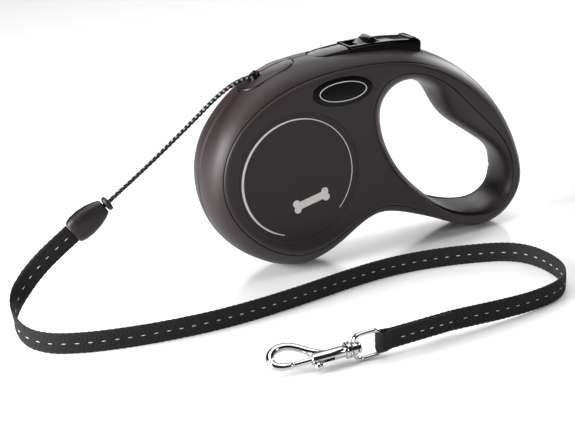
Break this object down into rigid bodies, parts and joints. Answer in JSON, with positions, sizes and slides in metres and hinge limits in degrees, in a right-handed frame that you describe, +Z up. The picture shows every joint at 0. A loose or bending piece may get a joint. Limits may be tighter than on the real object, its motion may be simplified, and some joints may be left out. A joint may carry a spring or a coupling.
{
  "type": "retractable cord dog leash",
  "caption": "Retractable dog leash: moulded housing with hand opening, spring drum, thumb brake and lock, thin cord, flat tape end and swivel bolt snap.",
  "frame": {"origin": "on the standing surface, below the middle of the housing, on the plane where its two halves part", "axes": "+X towards the handle's back end, away from the cord outlet; +Y across the housing, away from the flank that the tape lies beside; +Z up, with the drum's belly and the handle's foot on the ground"},
  "size_m": [0.2583, 0.1248, 0.1006],
  "materials": {
    "housing_plastic": "satin moulded",
    "label_film": "printed film",
    "badge_resin": "glossy domed",
    "guide_plastic": "satin moulded",
    "button_plastic": "glossy moulded",
    "drum_plastic": "natural moulded",
    "steel": "zinc plated",
    "spring_steel": "tempered",
    "cord_nylon": "braided",
    "tape_nylon": "woven",
    "coupling_plastic": "satin moulded",
    "snap_chrome": "bright plated"
  },
  "bodies": {
    "housing": {"left_shell": "housing_plastic", "right_shell": "housing_plastic", "left_label_disc": "label_film", "right_label_disc": "label_film", "left_badge": "badge_resin", "right_badge": "badge_resin", "cord_guide": "guide_plastic", "button_cover": "button_plastic", "housing_screws": "steel", "drum_axle": "steel", "button_pin": "steel", "button_spring": "spring_steel", "feed_cord": "cord_nylon", "cord_line": "cord_nylon", "stop_ring": "coupling_plastic", "coupling_front": "coupling_plastic", "coupling_back": "coupling_plastic", "cord_knot": "cord_nylon", "tape_run": "tape_nylon", "tape_end": "tape_nylon"},
    "drum": {"cord_drum": "drum_plastic", "spring_cover": "drum_plastic", "power_spring": "spring_steel", "cord_pack": "cord_nylon"},
    "button": {"brake_button": "button_plastic", "brake_pawl": "drum_plastic"},
    "lock": {"lock_slider": "button_plastic"},
    "eye": {"swivel_eye": "snap_chrome"},
    "hook": {"hook_body": "snap_chrome", "bolt_spring": "spring_steel"},
    "bolt": {"bolt_latch": "snap_chrome"}
  },
  "joints": [
    {"name": "drum_spin", "type": "hinge", "parent": "housing", "child": "drum", "pos_m": [-0.042, 0, 0.046], "axis": [0, 1, 0], "continuous": true},
    {"name": "button_press", "type": "hinge", "parent": "housing", "child": "button", "pos_m": [-0.014, 0, 0.091], "axis": [0, 1, 0], "range_deg": [0, 5.5], "stiffness_Nm_per_rad": 0.8, "springref_deg": -4.58, "deforming": ["button_spring"]},
    {"name": "lock_slide", "type": "slide", "parent": "button", "child": "lock", "axis": [-1, 0, 0], "range_m": [0, 0.0045]},
    {"name": "eye_swing", "type": "hinge", "parent": "housing", "child": "eye", "pos_m": [-0.0513, -0.1045, 0.007], "axis": [-0.0844, 0.0097, 0.9964], "range_deg": [-50, 50]},
    {"name": "hook_swivel", "type": "hinge", "parent": "eye", "child": "hook", "pos_m": [-0.0513, -0.1045, 0.007], "axis": [-0.9898, 0.114, -0.085], "continuous": true},
    {"name": "bolt_slide", "type": "slide", "parent": "hook", "child": "bolt", "axis": [0.9898, -0.114, 0.085], "range_m": [0, 0.005], "stiffness_N_per_m": 120, "springref_m": -0.004, "deforming": ["bolt_spring"]}
  ]
}
